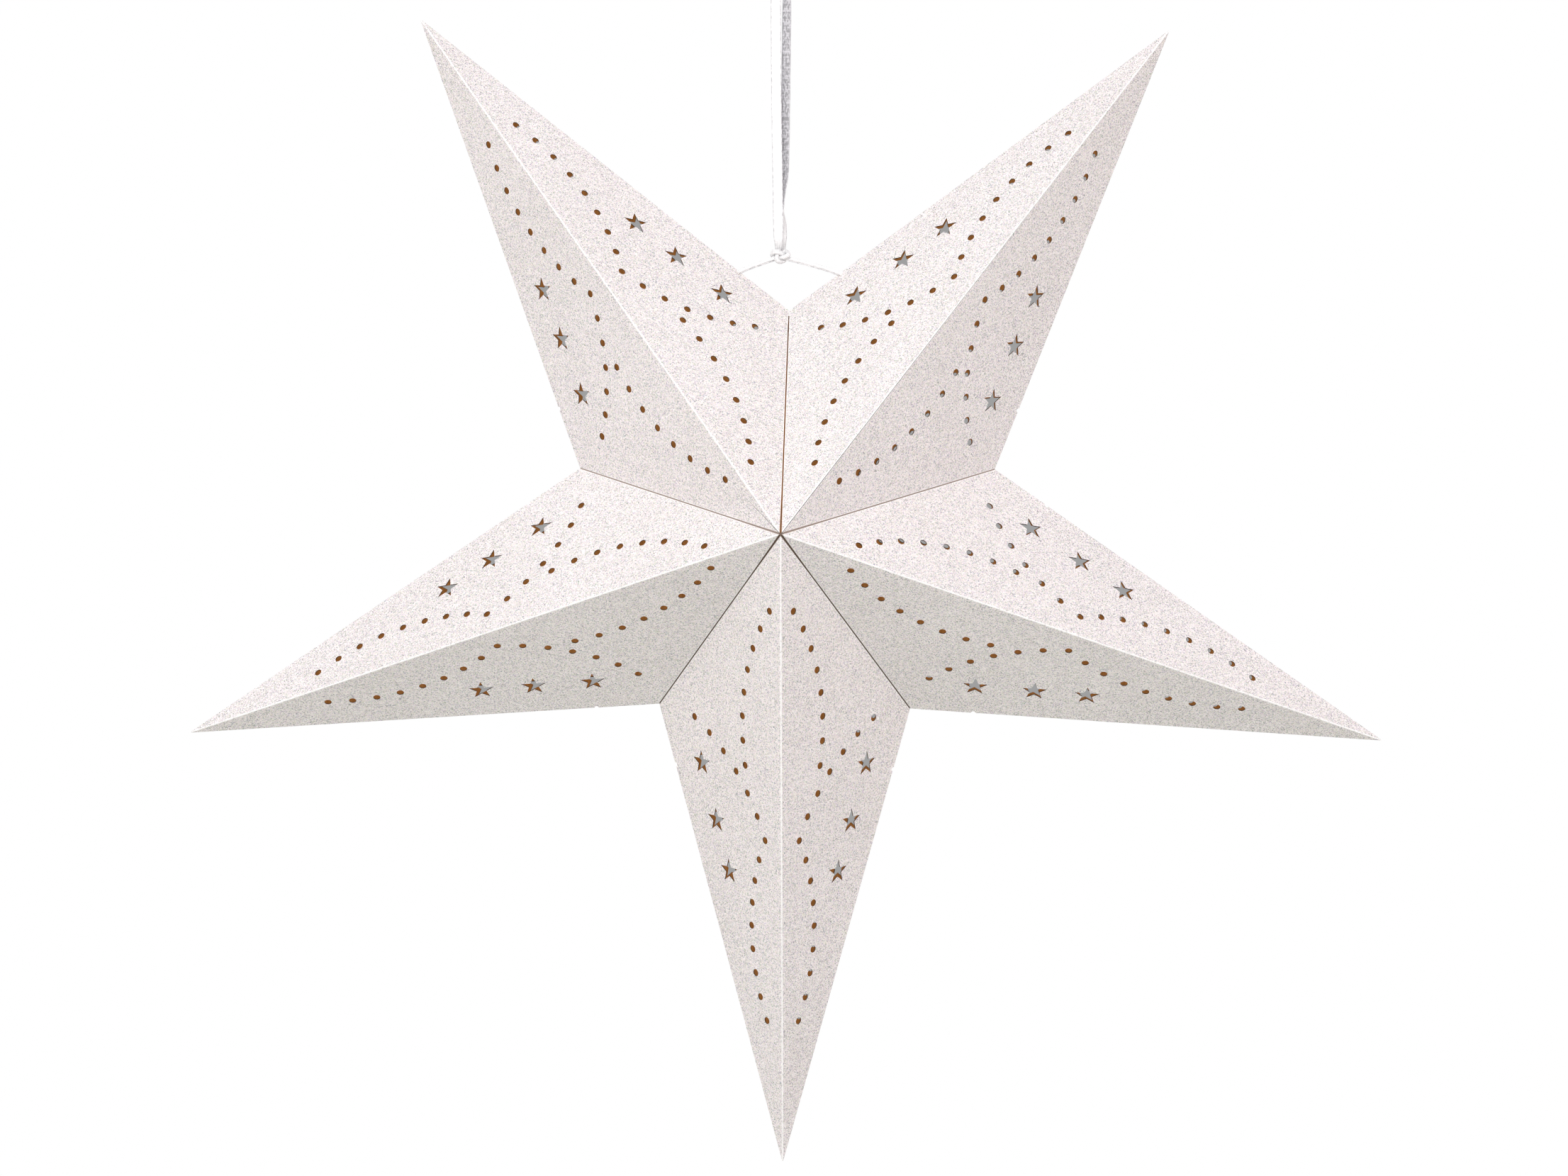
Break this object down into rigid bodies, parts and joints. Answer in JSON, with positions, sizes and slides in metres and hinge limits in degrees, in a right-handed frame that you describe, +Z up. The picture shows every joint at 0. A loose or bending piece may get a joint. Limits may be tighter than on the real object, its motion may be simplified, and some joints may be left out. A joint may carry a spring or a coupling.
{
  "type": "paper star lantern",
  "caption": "Folded card star lantern with punched dots and stars, hung on a ribbon loop, with a small battery lamp inside.",
  "frame": {"origin": "where the top of the ribbon loop rests on its hook", "axes": "+Z up along the hanging ribbon, the star's front faces -Y, +X to the right seen from the front"},
  "size_m": [0.5962, 0.195, 0.6154],
  "materials": {
    "glitter_card": "fine white glitter outside, brown kraft inside",
    "ribbon": "thin white satin ribbon",
    "steel_wire": "drawn",
    "lamp_plastic": "fine moulded",
    "contact_plate": "nickel plated",
    "cell_steel": "brushed",
    "circuit_board": "solder mask",
    "led_lens": "clear over yellow phosphor",
    "diffuser_plastic": "opal",
    "switch_plastic": "fine moulded"
  },
  "bodies": {
    "hanger": {"ribbon_loop": "ribbon"},
    "star": {"ribbon_knot": "ribbon", "ribbon_sling": "ribbon", "arm_bottom": "glitter_card", "arm_right": "glitter_card", "arm_upper_right": "glitter_card", "arm_upper_left": "glitter_card", "arm_left": "glitter_card"},
    "hook": {"lamp_hook": "steel_wire", "hook_washer": "steel_wire"},
    "cap": {"lamp_cap": "lamp_plastic", "top_contact": "contact_plate", "battery_spring": "contact_plate"},
    "lamp": {"lamp_body": "lamp_plastic", "coin_cells": "cell_steel", "bottom_contact": "contact_plate", "led_board": "circuit_board", "board_screws": "steel_wire", "leds": "led_lens", "diffuser": "diffuser_plastic", "switch_base": "switch_plastic"},
    "switch": {"switch_slider": "switch_plastic"}
  },
  "joints": [
    {"name": "star_turn", "type": "hinge", "parent": "hanger", "child": "star", "pos_m": [0.0012, 0, -0.163], "axis": [0, 0, 1], "range_deg": [-180, 180]},
    {"name": "lamp_swing", "type": "hinge", "parent": "star", "child": "hook", "pos_m": [0.0054, 0, -0.1944], "axis": [1, 0, 0], "range_deg": [-10, 10]},
    {"name": "lamp_swivel", "type": "hinge", "parent": "hook", "child": "cap", "pos_m": [0.0054, 0, -0.284], "axis": [0, 0, 1], "continuous": true},
    {"name": "lamp_twist", "type": "hinge", "parent": "cap", "child": "lamp", "pos_m": [0.0054, 0, -0.29], "axis": [0, 0, 1], "range_deg": [0, 60]},
    {"name": "switch_slide", "type": "slide", "parent": "lamp", "child": "switch", "axis": [0, 0, 1], "range_m": [0, 0.002]}
  ]
}
